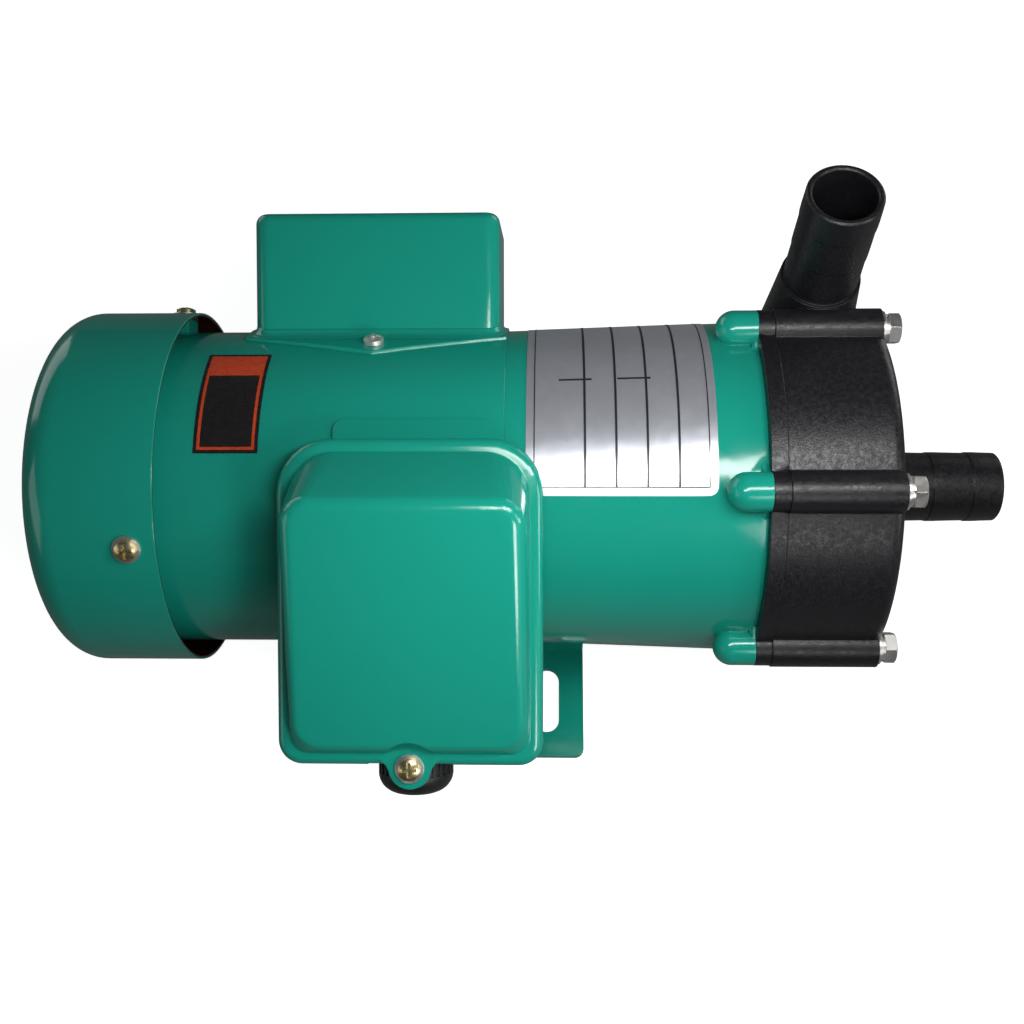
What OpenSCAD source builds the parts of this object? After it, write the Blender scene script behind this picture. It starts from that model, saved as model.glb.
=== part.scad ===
// Magnetic drive pump: a foot-mounted motor turns a ring of magnets in the bracket, and the ring
// turns the impeller through the wall of a sealed rear casing.
// The axis runs along X, with the inlet at +X and the outlet pointing up.
// The origin lies on the base plane, midway between the two front foot slots.
// Angles about the axis are measured from upright, positive towards the terminal box.

/* [Stand] */
// Height of the shaft axis above the base plane
axis_h = 75; // [74:0.5:95]
// Length of the foot along the axis
foot_len = 100; // [95:1:105]
// Width of the foot across the axis
foot_w = 168; // [160:1:180]
// Thickness of the foot sheet
foot_t = 2.5; // [2:0.1:4]
// Distance between the outer faces of the two legs
leg_span = 76; // [70:1:84]
// Width of a foot slot
slot_w = 10; // [7:0.5:12]
// Length of a foot slot from end to end
slot_len = 27; // [20:0.5:30]
// Distance between slot centres across the axis
slot_pitch_y = 121; // [118:0.5:124]
// Distance between slot centres along the axis
slot_pitch_x = 70; // [64:1:72]
// Distance from the front slots to the front edge of the foot
slot_edge = 15; // [12:0.5:18]

/* [Motor] */
// Diameter of the motor housing
housing_d = 117; // [114:0.5:122]
// Length of the motor housing
housing_len = 122.2; // [118:0.2:130]
// Wall of the motor housing
housing_wall = 2.5; // [2:0.1:3]
// Diameter of the motor shaft
shaft_d = 17; // [15:0.5:18]
// Outside diameter of the shaft bearings
bearing_d = 40; // [36:0.5:42]
// Width of the shaft bearings
bearing_w = 12; // [10:0.5:13]
// Length of the stator core
stack_len = 60; // [50:1:64]
// Diameter of the stator bore
stator_bore_d = 62; // [58:0.5:66]
// Air gap between rotor and stator
rotor_gap = 0.5; // [0.4:0.05:0.8]
// Overhang of the stator windings past the core
winding_len = 18; // [14:0.5:20]

/* [Fan end] */
// Air gap between the motor housing and the fan cover
air_gap = 6.1; // [4:0.1:7]
// Sheet thickness of the pressed covers
sheet_t = 1.2; // [1:0.1:1.6]
// Length of the fan cover
fan_cover_len = 47.8; // [46:0.2:60]
// Overlap of the fan cover over the motor housing
fan_cover_lap = 6.3; // [5:0.1:7]
// Corner radius of the fan cover
fan_cover_r = 12.5; // [8:0.5:20]
// Angle of the first fan cover screw
fan_screw_angle = 47; // [30:1:60]
// Number of blades on the cooling fan
fan_blades = 8; // [6:1:10]
// Diameter of the cooling fan
fan_d = 106; // [96:1:110]

/* [Bracket] */
// Distance from the front slots to the front face of the bracket
face_x = 73.5; // [72:0.5:78]
// Length of the bracket
bracket_len = 87.3; // [85:0.1:90]
// Wall of the bracket
bracket_wall = 4.5; // [4:0.1:6]
// Growth of the bracket radius towards the pump
bracket_taper = 2.8; // [2:0.1:4]
// Diameter of the front rim of the bracket
rim_d = 129; // [126:0.5:132]
// Radius of the screw bosses on the bracket
bracket_boss_r = 6.5; // [6:0.1:7]
// Length of the screw bosses on the bracket
bracket_boss_len = 14.4; // [13:0.1:18]

/* [Pump casing] */
// Diameter of the pump casing
casing_d = 130; // [128:0.5:134]
// Thickness of the rear casing flange
flange_t = 5.64; // [5:0.01:8]
// Length of the front casing
casing_len = 38.4; // [37:0.1:42]
// Radius of the bolt bosses on the casing
boss_r = 7; // [6.5:0.1:8]
// Depth of the bolt seats behind the front of the casing
boss_sink = 1.5; // [0.8:0.1:3]
// Diameter of the bolt circle
bolt_circle_d = 129; // [127:0.5:131]
// Number of casing bolts
bolt_count = 6; // [6:1:6]
// Outside diameter of the hose barbs
barb_d = 26; // [24:0.5:28]
// Diameter of the bore of the hose barbs
port_d = 21; // [18:0.5:22]
// Length of the inlet barb
inlet_len = 50; // [48:0.2:60]
// Height of the outlet tip above the axis
outlet_h = 104; // [100:0.5:120]
// Offset of the outlet from the axis
outlet_y = 50.1; // [49:0.1:51]

/* [Wet end] */
// Outer radius of the rear casing cup
cup_r = 34; // [32:0.5:36]
// Wall of the rear casing cup
cup_wall = 3; // [2.5:0.1:3.5]
// Depth of the cup behind the casing flange
cup_depth = 51.5; // [50:0.5:52]
// Diameter of the ceramic spindle
spindle_d = 12; // [10:0.5:13]
// Diameter of the impeller
impeller_d = 88; // [80:1:92]
// Number of impeller vanes
vanes = 6; // [5:1:7]
// Width of the impeller passages
vane_w = 13; // [11:0.5:13]
// Number of magnets in each ring
magnets = 8; // [6:2:10]
// Thickness of the drive magnets
magnet_t = 5; // [4:0.5:6]

/* [Terminal box] */
// Angle of the rim of the terminal box
box_angle = 30; // [25:1:35]
// Height of the rim plane above the motor housing
box_rise = 9.5; // [8:0.5:12]
// Width of the terminal box cover
box_w = 87.5; // [84:0.5:92]
// Reach of the cover above the foot of the rim plane's normal
box_up = 17.4; // [16:0.2:20]
// Reach of the cover below the foot of the rim plane's normal
box_down = 90; // [88:0.5:94]
// Depth of the box behind its rim plane
box_depth = 34; // [32:0.5:35]
// Height of the face of the cover at its deep end
face_high = 24.5; // [20:0.5:28]
// Height of the face of the cover at its shallow end
face_low = 5; // [4.5:0.1:8]
// Diameter of the cable entry
cable_d = 11; // [9:0.5:11]

/* [Capacitor] */
// Angle of the capacitor cover
cap_angle = -60; // [-62:1:-58]
// Length of the capacitor cover
cap_len = 89; // [84:0.5:94]
// Width of the capacitor cover
cap_w = 46; // [44:0.5:48]
// Height of the capacitor cover above the motor housing
cap_h = 41; // [38:0.5:46]
// Diameter of the run capacitor
cap_d = 35; // [30:0.5:35]

/* [Hidden] */
$fn = 64;
HULL_FN = 32;
CUT = 1;
FIT = 0.05;
ROOM = 0.3;
GREEN = "#12896b";
BLACK = "#1c1c1e";
STEEL = "#c9c9c6";
ZINC = "#b9b08c";

// Places along the axis, from the fan end to the inlet
bracket_x = face_x - bracket_len;
housing_x = bracket_x - housing_len;
fan_open_x = housing_x + fan_cover_lap;
fan_end_x = fan_open_x - fan_cover_len;
shield_t = 6.6;
shield_x = housing_x - shield_t;
seat_x = face_x + flange_t;
front_x = seat_x + casing_len;
boss_x = front_x - boss_sink;
inlet_tip_x = front_x + inlet_len;
cup_x = face_x - cup_depth;
foot_front_x = slot_edge;
foot_rear_x = slot_edge - foot_len;

// Motor radii and seats
housing_r = housing_d / 2;
housing_in_r = housing_r - housing_wall;
shaft_r = shaft_d / 2;
bearing_r = bearing_d / 2;
hub_r = bearing_r + 6;
spigot_len = 8;
spigot_wall = 6.5;
bearing_stop = 6;
rear_bearing_x = housing_x;
front_bearing_x = bracket_x - spigot_len;
web_x = front_bearing_x + bearing_w + bearing_stop;
stack_mid_x = (housing_x + bracket_x) / 2;
stack_x = stack_mid_x - stack_len / 2;
rotor_r = stator_bore_d / 2 - rotor_gap;
stator_slots = 24;
wire_hole_r = 6;
wire_hole_y = 20;
wire_hole_in = 12;

// Fan end
fan_cover_out_r = housing_r + air_gap + sheet_t;
fan_cover_in_r = fan_cover_out_r - sheet_t;
fan_screw_x = housing_x - shield_t / 2;
fan_screw_step = 112;
fan_screw_angles = [for (i = [0 : 2]) fan_screw_angle - i * fan_screw_step];
lug_w = 12;
lug_set = 0.4;
lug_root = 4;
fan_hub_r = 15;
fan_x = shield_x - 19;
fan_plate_t = 2.5;
fan_blade_t = 2;
vent_count = 20;
vent_w = 4;
vent_r0 = 20;
vent_r1 = 44;

// Machine screws for the sheet covers
screw_r = 2;
screw_len = 7;
cap_screw_len = sheet_t + housing_wall;
box_screw_len = sheet_t + 3.4;
screw_head_r = 3.6;
screw_head_h = 2.6;
recess_l = 5;
recess_w = 1.1;
recess_t = 1.4;
screw_washer_r = 4.8;
screw_washer_t = 0.9;

// Bracket
bracket_in_r = housing_r - bracket_wall;
bolt_r = 3;
bolt_hole_r = 3.3;
bolt_circle_r = bolt_circle_d / 2;
bolt_angles = [for (i = [0 : bolt_count - 1]) 30 + i * 360 / bolt_count];
bolt_head_af = 10;
bolt_head_h = 4;
bolt_end_x = face_x - bracket_boss_len + bracket_boss_r - 2;
flat_washer_t = 1.2;
flat_washer_r = 6;
spring_washer_t = 1.4;
spring_washer_r = 5;
head_x = boss_x + flat_washer_t + spring_washer_t;

// Wet end, worked out from the cup and the spindle
casing_r = casing_d / 2;
ring_r = casing_r + 0.5;
cup_in_r = cup_r - cup_wall;
cup_end_t = 4;
capsule_r = cup_in_r - 1.5;
spindle_r = spindle_d / 2;
bush_r = spindle_r + 3;
socket_r = spindle_r + 5;
socket_len = 12;
socket_floor = 2.5;
spindle_x = cup_x + cup_end_t + socket_floor;
rear_thrust_x = cup_x + cup_end_t + socket_len;
thrust_t = 3;
thrust_r = spindle_r + 3.5;
impeller_r = impeller_d / 2;
shroud_t = 3;
impeller_x = seat_x + 2.9;
vane_x = impeller_x + shroud_t;
shroud_x = vane_x + vane_w;
eye_x = shroud_x + shroud_t;
chamber_x = eye_x + 3;
eye_r = 17;
mouth_wall = 3;
mouth_len = 5.2;
mouth_r = eye_r + mouth_wall;
mouth_ring_r = mouth_r + 4;
mouth_ring_w = mouth_len + ROOM;
capsule_x = rear_thrust_x + thrust_t + ROOM;
bush_end_x = eye_x - ROOM;
hub_x = eye_x + thrust_t;
spider_x = chamber_x + mouth_ring_w + ROOM;
spider_t = 3;
spider_hub_r = spindle_r + 2.5;
spindle_end_x = spider_x + spider_t;
throat_end_x = spindle_end_x + 4;
impeller_hub_r = bush_r + 2;
chamber_r = impeller_r + 5;
volute_r = casing_r - 6.5;
volute_margin = 4;
tongue_angle = 45;
seal_r = 1.3;
seal_groove_w = 3.4;
seal_mid_r = (volute_r + bolt_circle_r - bolt_hole_r) / 2;
capsule_wall = 2;
inner_magnet_r0 = bush_r + 6;
inner_magnet_r1 = capsule_r - capsule_wall;

// Drive magnets and their yoke around the cup
magnet_gap = 3;
magnet_r0 = cup_r + magnet_gap;
magnet_r1 = magnet_r0 + magnet_t;
yoke_r = magnet_r1 + 6;
yoke_plate_t = 6;
yoke_x = cup_x - 2 - yoke_plate_t;
yoke_hub_r = shaft_r + 8;
yoke_hub_len = yoke_x - web_x - 1.5;
yoke_end_x = face_x - 5;
magnet_x = capsule_x + 2;
magnet_len = yoke_end_x - magnet_x - 2;
magnet_slit = 1.2;

// Hose barbs, measured back from the tip
barb_r = barb_d / 2;
port_r = port_d / 2;
groove_r = barb_r - 0.25;
barb_first = 11;
barb_pitch = 14.5;
barb_land = 3;
barb_rings = 3;
tip_chamfer = 0.6;
root_r = barb_r + 3;
outlet_back = 2.1;
outlet_x = seat_x + casing_len / 2 - outlet_back;
outlet_root = 34;
outlet_flare = 17;
boss_step = 0.4;
hose_stop_r = barb_r + 1;
outlet_stop = outlet_h - barb_first - (barb_rings - 1) * barb_pitch - barb_land / 2;
outlet_throat = 46;
throat_r = port_r + 0.8;

// Terminal box: places measured along its rim plane, up is +Y in the box's own frame
box_back = 30.5;
box_x = bracket_x - box_back;
rim_h = housing_r + box_rise;
box_floor_h = rim_h - box_depth;
box_wall = 1.6;
lip_inset = 3.2;
wall_inset = 6;
cover_r_top = 18;
cover_r_low = 8;
skirt_h = 4;
tab_r = 7;
tab_y = -box_down - 0.7;
tab_curve = 7;
notch_r = 9.5;
rim_roll = 3;
bump_inset = 4.3;
bump_r_top = 15;
bump_r_low = 6;
face_inset_x = 4.9;
face_inset_up = 18;
face_inset_low = 4.5;
face_r = 10;
face_edge_high = 5;
face_edge_low = 3.5;
saddle_w = 54;
saddle_up = 24.3;
gland_r = 8;
gland_drop = 18;
gland_h = rim_h - gland_drop;
gland_wall_y = -box_down + wall_inset;
collar_af = 26;
collar_t = 4.5;
neck_r = 10;
neck_len = 8;
gland_nut_r = 12.8;
gland_nut_len = 14.5;
gland_ribs = 30;
seal_len = 4;
locknut_af = 22;
locknut_t = 3;
block_w = 44;
block_l = 18;
block_h = 14;
block_gap = 2.2;
block_base = box_floor_h + box_wall;
block_y = -sqrt(housing_r * housing_r - block_base * block_base) - block_gap - block_l;
block_slot = 6;
stud_r = 2;
stud_count = 4;

// Capacitor cover
cap_corner_r = 5.5;
cap_edge_r = 3.6;
cap_flange = 2.6;
cap_x = bracket_x - cap_len / 2 - cap_flange - ROOM;
cap_flap = 11.7;
cap_screw_y = cap_w / 2 + 5.6;
cap_can_len = cap_len - 16;
cap_seat = 2.5;
cradle_l = 40;
cradle_w = 24;

// Shared forms

module on_axis() {
    translate([0, 0, axis_h]) children();
}

// A solid cylinder along the axis between two places
module bar(r, x0, x1, facets = 64) {
    translate([x0, 0, 0]) rotate([0, 90, 0]) cylinder(r = r, h = x1 - x0, $fn = facets);
}

module ring(r1, r0, x0, x1) {
    difference() {
        bar(r1, x0, x1);
        bar(r0, x0 - CUT, x1 + CUT);
    }
}

// A profile of radius and place along the axis, turned about the axis
module turned() {
    rotate([0, 90, 0]) rotate_extrude($fn = 96) children();
}

// An outline seen from the inlet end, with Y across and Z up, extruded along the axis
module along(x0, x1) {
    translate([x0, 0, 0]) rotate([90, 0, 90]) linear_extrude(x1 - x0) children();
}

// Turns the upright direction to an angle about the axis
module at_angle(a) {
    rotate([a, 0, 0]) children();
}

module at_bolts() {
    for (a = bolt_angles) at_angle(a) translate([0, 0, bolt_circle_r]) children();
}

module hexagon(af, h) {
    cylinder(d = af / cos(30), h = h, $fn = 6);
}

// A rectangle with one corner radius at its lower end and another at its upper end
module rounded_plate(w, y0, y1, r0, r1) {
    mid = (y0 + y1) / 2;
    translate([-w / 2, y0 + r0]) square([w, y1 - y0 - r0 - r1]);
    translate([-w / 2 + r0, y0]) square([w - 2 * r0, mid - y0]);
    translate([-w / 2 + r1, mid]) square([w - 2 * r1, y1 - mid]);
    for (s = [-1, 1]) {
        translate([s * (w / 2 - r0), y0 + r0]) circle(r = r0);
        translate([s * (w / 2 - r1), y1 - r1]) circle(r = r1);
    }
}

// A slot with round ends, lying along X
module slot_cut(len, w, h) {
    translate([-(len - w) / 2, -w / 2, 0]) cube([len - w, w, h]);
    for (s = [-1, 1]) translate([s * (len - w) / 2, 0, 0]) cylinder(d = w, h = h);
}

// A pan head screw standing on its seat, shank down
module pan_screw(len) {
    translate([0, 0, -len]) cylinder(r = screw_r, h = len);
    difference() {
        intersection() {
            cylinder(r = screw_head_r, h = screw_head_h);
            translate([0, 0, screw_head_h - 2 * screw_head_r]) sphere(r = 2 * screw_head_r);
        }
        for (a = [0, 90]) rotate([0, 0, a])
            translate([-recess_l / 2, -recess_w / 2, screw_head_h - recess_t])
                cube([recess_l, recess_w, recess_t + CUT]);
    }
}

module washer(r1, r0, t) {
    difference() {
        cylinder(r = r1, h = t);
        translate([0, 0, -CUT]) cylinder(r = r0, h = t + 2 * CUT);
    }
}

// A sector of a ring of magnets
module magnet_ring(r1, r0, x0, x1) {
    difference() {
        ring(r1, r0, x0, x1);
        for (i = [0 : magnets / 2 - 1]) at_angle(i * 360 / magnets)
            translate([x0 - CUT, -magnet_slit / 2, -r1 - CUT])
                cube([x1 - x0 + 2 * CUT, magnet_slit, 2 * (r1 + CUT)]);
    }
}

// Outline of a hose barb, from its root to its tip
function barb_points(len) = concat(
    [[0, 0], [barb_r, 0]],
    [for (i = [barb_rings - 1 : -1 : 0])
        let (z = len - barb_first - i * barb_pitch)
        each [
            [i == barb_rings - 1 ? barb_r : groove_r, i == barb_rings - 1 ? z - barb_land : z],
            [groove_r, i == barb_rings - 1 ? z - barb_land + 0.1 : z],
            [groove_r, z],
            [barb_r, z],
            [barb_r, z + barb_land]
        ]],
    [[groove_r, len - tip_chamfer], [groove_r - tip_chamfer, len], [0, len]]
);

module barb(len) {
    rotate_extrude($fn = 64) polygon(barb_points(len));
}

// The bore of a hose barb, opened out at its tip
module port(len) {
    translate([0, 0, -CUT]) cylinder(r = port_r, h = len + 2 * CUT);
    translate([0, 0, len - tip_chamfer])
        cylinder(r1 = port_r, r2 = port_r + tip_chamfer, h = tip_chamfer + 0.01);
}

module box_frame() {
    translate([box_x, 0, axis_h]) rotate([box_angle, 0, 0]) children();
}

// The cable gland's own frame, pointing out of the lower wall of the terminal box
module gland_frame() {
    box_frame() translate([0, gland_wall_y, gland_h]) rotate([90, 0, 0]) children();
}

module cap_frame() {
    translate([cap_x, 0, axis_h]) rotate([cap_angle, 0, 0]) children();
}

// Motor

module motor_housing() {
    color(GREEN) difference() {
        on_axis() ring(housing_r, housing_in_r, housing_x, bracket_x);
        box_frame() translate([0, -wire_hole_y, 0]) cylinder(r = wire_hole_r, h = rim_h);
        cap_frame() translate([-cap_len / 2 + wire_hole_in, 0, 0]) cylinder(r = wire_hole_r, h = rim_h);
        capacitor_screw_places() translate([0, 0, -cap_screw_len - CUT])
            cylinder(r = screw_r + FIT, h = cap_screw_len + CUT);
    }
}

module rear_end_shield() {
    color(GREEN) on_axis() difference() {
        union() {
            bar(housing_r, shield_x, housing_x);
            ring(housing_in_r, housing_in_r - spigot_wall, housing_x, housing_x + spigot_len);
            bar(hub_r, shield_x, rear_bearing_x + bearing_w);
            for (a = fan_screw_angles) at_angle(a) intersection() {
                translate([shield_x + lug_set, -lug_w / 2, housing_r - lug_root])
                    cube([shield_t - 2 * lug_set, lug_w, lug_root + air_gap + CUT]);
                bar(fan_cover_in_r, shield_x, housing_x);
            }
        }
        bar(bearing_r, rear_bearing_x, rear_bearing_x + bearing_w + CUT);
        bar(shaft_r + 0.5, shield_x - CUT, rear_bearing_x + CUT);
        fan_screw_cuts();
    }
}

module fan_screw_cuts() {
    for (a = fan_screw_angles) at_angle(a) translate([fan_screw_x, 0, fan_cover_out_r - screw_len])
        cylinder(r = screw_r + FIT, h = screw_len + CUT);
}

module stator_core() {
    color("#6f7072") on_axis() difference() {
        ring(housing_in_r, stator_bore_d / 2, stack_x, stack_x + stack_len);
        for (i = [0 : stator_slots - 1]) at_angle(i * 360 / stator_slots)
            translate([stack_x - CUT, -2, stator_bore_d / 2 + 2]) cube([stack_len + 2 * CUT, 4, 12]);
    }
}

module stator_windings() {
    winding_r = housing_in_r - 4;
    color("#a8622a") on_axis() for (x = [stack_x - winding_len, stack_x + stack_len])
        translate([x, 0, 0]) turned() difference() {
            translate([stator_bore_d / 2 + 2, 0]) square([winding_r - stator_bore_d / 2 - 2, winding_len]);
            translate([winding_r - 6, x < stack_x ? 0 : winding_len]) rotate(x < stack_x ? -45 : 45)
                translate([4.3, -6]) square([8, 12]);
        }
}

module rotor_core() {
    ring_t = 5;
    color("#8b8d90") on_axis() difference() {
        union() {
            bar(rotor_r, stack_x, stack_x + stack_len);
            bar(rotor_r - 2, stack_x - ring_t, stack_x + stack_len + ring_t);
        }
        bar(shaft_r, stack_x - ring_t - CUT, stack_x + stack_len + ring_t + CUT);
        for (x = [stack_x - ring_t - CUT, stack_x + stack_len])
            bar(shaft_r + 10, x, x + ring_t + CUT);
    }
}

module motor_shaft() {
    color(STEEL) on_axis() bar(shaft_r - FIT, fan_x, yoke_x + yoke_plate_t);
}

module motor_bearings() {
    race = (bearing_r - shaft_r) / 2;
    color(STEEL) on_axis() for (x = [rear_bearing_x, front_bearing_x]) difference() {
        ring(bearing_r, shaft_r, x, x + bearing_w);
        for (side = [x - CUT, x + bearing_w - 0.8])
            ring(shaft_r + race + 3, shaft_r + race - 3, side, side + 0.8 + CUT);
    }
}

module cooling_fan() {
    color("#27292b") on_axis() difference() {
        union() {
            bar(fan_hub_r, fan_x, shield_x - 2);
            bar(fan_d / 2 - 6, shield_x - 2 - fan_plate_t, shield_x - 2);
            for (i = [0 : fan_blades - 1]) at_angle(i * 360 / fan_blades)
                translate([fan_x, -fan_blade_t / 2, fan_hub_r - 2])
                    cube([shield_x - 2 - fan_x, fan_blade_t, fan_d / 2 - fan_hub_r + 2]);
        }
        bar(shaft_r - FIT, fan_x - CUT, shield_x);
    }
}

// Half section of the fan cover or of its inside
module fan_cover_half(r, end, corner) {
    translate([0, end + corner]) square([r, fan_open_x - end - corner]);
    translate([0, end]) square([r - corner, corner + CUT]);
    translate([r - corner, end + corner]) circle(r = corner);
}

module fan_cover() {
    color(GREEN) on_axis() difference() {
        turned() difference() {
            fan_cover_half(fan_cover_out_r, fan_end_x, fan_cover_r);
            fan_cover_half(fan_cover_in_r, fan_end_x + sheet_t, fan_cover_r - sheet_t);
            translate([0, fan_open_x - CUT]) square([fan_cover_in_r, 2 * CUT]);
        }
        for (i = [0 : vent_count - 1]) at_angle(i * 360 / vent_count)
            translate([fan_end_x - CUT, 0, (vent_r0 + vent_r1) / 2]) rotate([0, 90, 0])
                slot_cut(vent_r1 - vent_r0, vent_w, sheet_t + 2 * CUT);
        for (a = fan_screw_angles) at_angle(a) translate([fan_screw_x, 0, fan_cover_in_r - CUT])
            cylinder(r = screw_r + 0.3, h = sheet_t + 2 * CUT);
    }
}

module fan_screw_places() {
    on_axis() for (a = fan_screw_angles) at_angle(a) translate([fan_screw_x, 0, fan_cover_out_r]) children();
}

module fan_cover_washers() {
    color(STEEL) fan_screw_places() washer(screw_washer_r, screw_r + 0.2, screw_washer_t);
}

module fan_cover_screws() {
    color(ZINC) fan_screw_places() translate([0, 0, screw_washer_t]) pan_screw(screw_len);
}

module foot() {
    leg = leg_span / 2;
    saddle_r = housing_r + foot_t;
    leg_top = axis_h - sqrt(housing_r * housing_r - leg * leg) + 2;
    clear_r = housing_r + bracket_taper + 1;
    color(GREEN) difference() {
        union() {
            for (s = [-1, 1]) translate([foot_rear_x, s > 0 ? leg - foot_t : -leg, 0]) {
                cube([foot_len, foot_t, leg_top]);
            }
            for (s = [-1, 1]) translate([(foot_front_x + foot_rear_x) / 2, s * (leg + foot_w / 2) / 2, 0])
                linear_extrude(foot_t) foot_flange(s, foot_w / 2 - leg + foot_t);
            intersection() {
                on_axis() ring(saddle_r, housing_r, foot_rear_x, bracket_x);
                translate([foot_rear_x - CUT, -leg, 0]) cube([foot_len, leg_span, axis_h]);
            }
        }
        on_axis() bar(housing_r, foot_rear_x - CUT, bracket_x + 0.01);
        on_axis() bar(clear_r, bracket_x, foot_front_x + CUT);
        for (x = [0, -slot_pitch_x], s = [-1, 1]) translate([x, s * slot_pitch_y / 2, -CUT])
            rotate([0, 0, 90]) slot_cut(slot_len, slot_w, foot_t + 2 * CUT);
    }
}

// One flange of the foot, with its two outer corners rounded
module foot_flange(side, reach) {
    r = 3.6;
    outer = side * (reach - foot_t) / 2;
    translate([-foot_len / 2, side > 0 ? outer - reach : outer + r]) square([foot_len, reach - r]);
    translate([-foot_len / 2 + r, side > 0 ? outer - reach : outer]) square([foot_len - 2 * r, reach]);
    for (s = [-1, 1]) translate([s * (foot_len / 2 - r), outer - side * r]) circle(r = r);
}

// Capacitor

module capacitor_screw_places() {
    tilt = asin(cap_screw_y / housing_r);
    cap_frame() for (s = [-1, 1]) rotate([s * tilt, 0, 0]) translate([0, 0, housing_r + sheet_t]) children();
}

// A drawn box with rounded corners and a rounded top edge, taken in by an inset
module drawn_box(inset) {
    hull() for (sx = [-1, 1], sy = [-1, 1])
        translate([sx * (cap_len / 2 - cap_corner_r), sy * (cap_w / 2 - cap_corner_r), 0]) {
            translate([0, 0, housing_r * 0.6])
                cylinder(r = cap_corner_r - inset, h = 10, $fn = HULL_FN);
            translate([0, 0, housing_r + cap_h - cap_edge_r]) rotate_extrude($fn = HULL_FN)
                translate([cap_corner_r - cap_edge_r, 0]) intersection() {
                    circle(r = cap_edge_r - inset, $fn = HULL_FN);
                    translate([0, -cap_edge_r]) square(2 * cap_edge_r);
                }
        }
}

// The flange that lies on the motor housing and widens to a point at each screw
module cap_flange_outline() {
    half = cap_len / 2 + cap_flange;
    side = cap_w / 2 + 1.5;
    polygon([[-half, -side], [0, -cap_w / 2 - cap_flap], [half, -side],
             [half, side], [0, cap_w / 2 + cap_flap], [-half, side]]);
}

module capacitor_cover() {
    color(GREEN) difference() {
        union() {
            cap_frame() drawn_box(0);
            cap_frame() intersection() {
                linear_extrude(housing_r + sheet_t) cap_flange_outline();
                bar(housing_r + sheet_t, -cap_len, cap_len);
            }
        }
        cap_frame() drawn_box(sheet_t);
        on_axis() bar(housing_r, housing_x, bracket_x + CUT);
        capacitor_screw_places() translate([0, 0, -sheet_t - CUT])
            cylinder(r = screw_r + 0.3, h = sheet_t + 2 * CUT);
    }
}

module capacitor_cover_screws() {
    color(ZINC) capacitor_screw_places() pan_screw(cap_screw_len);
}

module run_capacitor() {
    color("#d8d8d4") cap_frame() translate([0, 0, housing_r + cap_seat + cap_d / 2]) {
        bar(cap_d / 2, -cap_can_len / 2, cap_can_len / 2);
        bar(cap_d / 2 - 3, cap_can_len / 2, cap_can_len / 2 + 2);
    }
}

module capacitor_cradle() {
    color(BLACK) cap_frame() difference() {
        translate([-cradle_l / 2, -cradle_w / 2, housing_r - 5]) cube([cradle_l, cradle_w, cap_d / 2]);
        bar(housing_r, -cap_len, cap_len, 256);
        translate([0, 0, housing_r + cap_seat + cap_d / 2]) bar(cap_d / 2, -cap_len, cap_len, 128);
    }
}

// Terminal box

module box_outline(inset) {
    rounded_plate(box_w - 2 * inset, -box_down + inset, box_up - inset,
                  max(cover_r_low - inset, 1), max(cover_r_top - inset, 1));
}

// The sheet that lies on the motor housing inside the box, with a tab above it
module box_saddle() {
    intersection() {
        bar(housing_r + sheet_t, -box_w, box_w);
        translate([0, 0, box_floor_h]) linear_extrude(rim_h) {
            box_outline(wall_inset);
            rounded_plate(saddle_w, -box_up, saddle_up, 2, 4);
        }
    }
}

module terminal_box() {
    color(GREEN) difference() {
        box_frame() union() {
            translate([0, 0, box_floor_h]) linear_extrude(box_depth) difference() {
                box_outline(wall_inset);
                box_outline(wall_inset + box_wall);
            }
            translate([0, 0, box_floor_h]) linear_extrude(box_wall) box_outline(wall_inset);
            translate([0, 0, rim_h - box_wall]) linear_extrude(box_wall) difference() {
                union() {
                    box_outline(lip_inset);
                    translate([0, tab_y]) circle(r = tab_r - 1);
                }
                box_outline(wall_inset + box_wall);
            }
            box_saddle();
        }
        on_axis() bar(housing_r, housing_x, bracket_x + CUT);
        on_axis() bar(housing_r + bracket_taper, bracket_x - ROOM, face_x);
        box_frame() translate([0, -wire_hole_y, 0]) cylinder(r = wire_hole_r, h = rim_h);
        box_frame() translate([0, tab_y, rim_h - 5]) cylinder(r = screw_r + FIT, h = 6);
        gland_frame() translate([0, 0, -5]) cylinder(r = gland_r + 0.2, h = 6);
    }
}

// Height of the sloping face above the rim plane at a place along the box
function face_tilt() = atan((face_high - face_low) / (box_up + box_down - face_inset_up - face_inset_low));
function face_h(y) = face_low + (y + box_down - face_inset_low) * tan(face_tilt());

// The raised part of the cover: an outline on the rim plane drawn up to a smaller sloping face
module cover_bump(inset) {
    hull() {
        for (s = [-1, 1]) {
            translate([s * (box_w / 2 - bump_inset - bump_r_low), -box_down + bump_inset + bump_r_low, rim_h])
                cylinder(r = bump_r_low - inset, h = sheet_t, $fn = HULL_FN);
            translate([s * (box_w / 2 - bump_inset - bump_r_top), box_up - bump_inset - bump_r_top, rim_h])
                cylinder(r = bump_r_top - inset, h = sheet_t, $fn = HULL_FN);
            face_corner(s, -box_down + face_inset_low + face_r, face_edge_low, inset);
            face_corner(s, box_up - face_inset_up - face_r, face_edge_high, inset);
        }
    }
}

module face_corner(side, y, edge, inset) {
    translate([side * (box_w / 2 - face_inset_x - face_r), y, rim_h + face_h(y)]) rotate([face_tilt(), 0, 0])
        translate([0, 0, -edge]) rotate_extrude($fn = HULL_FN) translate([face_r - edge, 0]) intersection() {
            circle(r = edge - inset, $fn = HULL_FN);
            translate([0, -edge]) square(2 * edge);
        }
}

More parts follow.
